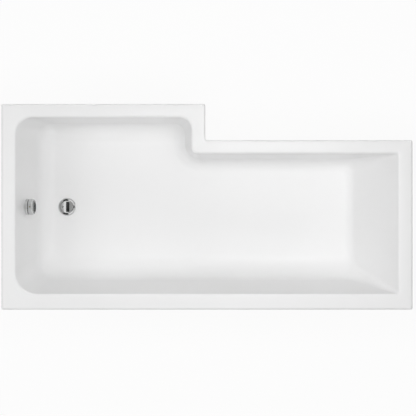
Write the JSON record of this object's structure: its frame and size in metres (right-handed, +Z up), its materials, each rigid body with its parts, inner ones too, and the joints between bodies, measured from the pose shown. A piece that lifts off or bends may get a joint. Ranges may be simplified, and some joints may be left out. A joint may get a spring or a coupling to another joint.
{
  "type": "l-shaped shower bath",
  "caption": "L-shaped acrylic shower bath on an adjustable leg set, with chrome pop-up waste, turning overflow knob and overflow pipe.",
  "frame": {"origin": "on the floor, at the centre of the overall box", "axes": "+Z up, +X from the shower end with the waste to the sloping backrest, +Y from the wall side to the stepped front"},
  "size_m": [1.7, 0.85, 0.54],
  "materials": {
    "acrylic": "gloss",
    "chipboard": "matte",
    "timber": "matte",
    "galvanised": "satin",
    "zinc_fasteners": "satin",
    "foot_plastic": "matte",
    "chrome": "polished",
    "seal_rubber": "matte",
    "white_plastic": "satin",
    "brass": "satin",
    "acetal": "satin",
    "pin_steel": "satin"
  },
  "bodies": {
    "bath": {"bath_shell": "acrylic", "baseboard": "chipboard", "back_batten": "timber", "shower_batten": "timber", "narrow_batten": "timber", "shower_rail": "galvanised", "slope_rail": "galvanised", "centre_bracket": "galvanised", "frame_screws": "zinc_fasteners", "leg_washers": "zinc_fasteners", "lock_nuts": "zinc_fasteners", "waste_flange": "chrome", "overflow_flange": "chrome", "waste_upper_seal": "seal_rubber", "waste_lower_seal": "seal_rubber", "overflow_gasket": "seal_rubber", "waste_body": "white_plastic", "overflow_elbow": "white_plastic", "pipe_nut_upper": "white_plastic", "pipe_nut_lower": "white_plastic", "overflow_pipe": "white_plastic", "rocker_pin": "pin_steel"},
    "knob": {"overflow_knob": "chrome", "knob_grub_screw": "zinc_fasteners", "knob_spindle": "brass"},
    "plug": {"plug_cap": "chrome", "plug_seal": "seal_rubber", "plug_stem": "brass", "stem_adjuster": "brass"},
    "rocker": {"lift_rocker": "acetal"},
    "leg_shower_back": {"stud_shower_back": "zinc_fasteners", "foot_shower_back": "foot_plastic"},
    "leg_shower_front": {"stud_shower_front": "zinc_fasteners", "foot_shower_front": "foot_plastic"},
    "leg_slope_back": {"stud_slope_back": "zinc_fasteners", "foot_slope_back": "foot_plastic"},
    "leg_slope_front": {"stud_slope_front": "zinc_fasteners", "foot_slope_front": "foot_plastic"},
    "leg_centre": {"stud_centre": "zinc_fasteners", "foot_centre": "foot_plastic"}
  },
  "joints": [
    {"name": "knob_turn", "type": "hinge", "parent": "bath", "child": "knob", "pos_m": [-0.76008, 0, 0.374], "axis": [0.982, 0, 0.1888], "range_deg": [0, 90]},
    {"name": "plug_lift", "type": "slide", "parent": "bath", "child": "plug", "axis": [0, 0, 1], "range_m": [0, 0.01]},
    {"name": "rocker_turn", "type": "hinge", "parent": "bath", "child": "rocker", "pos_m": [-0.619, 0, 0.1102], "axis": [0, -1, 0], "range_deg": [0, 45.24]},
    {"name": "adjust_shower_back", "type": "slide", "parent": "bath", "child": "leg_shower_back", "axis": [0, 0, 1], "range_m": [-0.02, 0.025]},
    {"name": "adjust_shower_front", "type": "slide", "parent": "bath", "child": "leg_shower_front", "axis": [0, 0, 1], "range_m": [-0.02, 0.025]},
    {"name": "adjust_slope_back", "type": "slide", "parent": "bath", "child": "leg_slope_back", "axis": [0, 0, 1], "range_m": [-0.02, 0.025]},
    {"name": "adjust_slope_front", "type": "slide", "parent": "bath", "child": "leg_slope_front", "axis": [0, 0, 1], "range_m": [-0.02, 0.025]},
    {"name": "adjust_centre", "type": "slide", "parent": "bath", "child": "leg_centre", "axis": [0, 0, 1], "range_m": [-0.015, 0.015]}
  ],
  "couplings": [
    {"joint": "plug_lift", "follows": "knob_turn", "m_per_rad": 0.006366},
    {"joint": "rocker_turn", "follows": "knob_turn", "ratio": 0.50266}
  ]
}
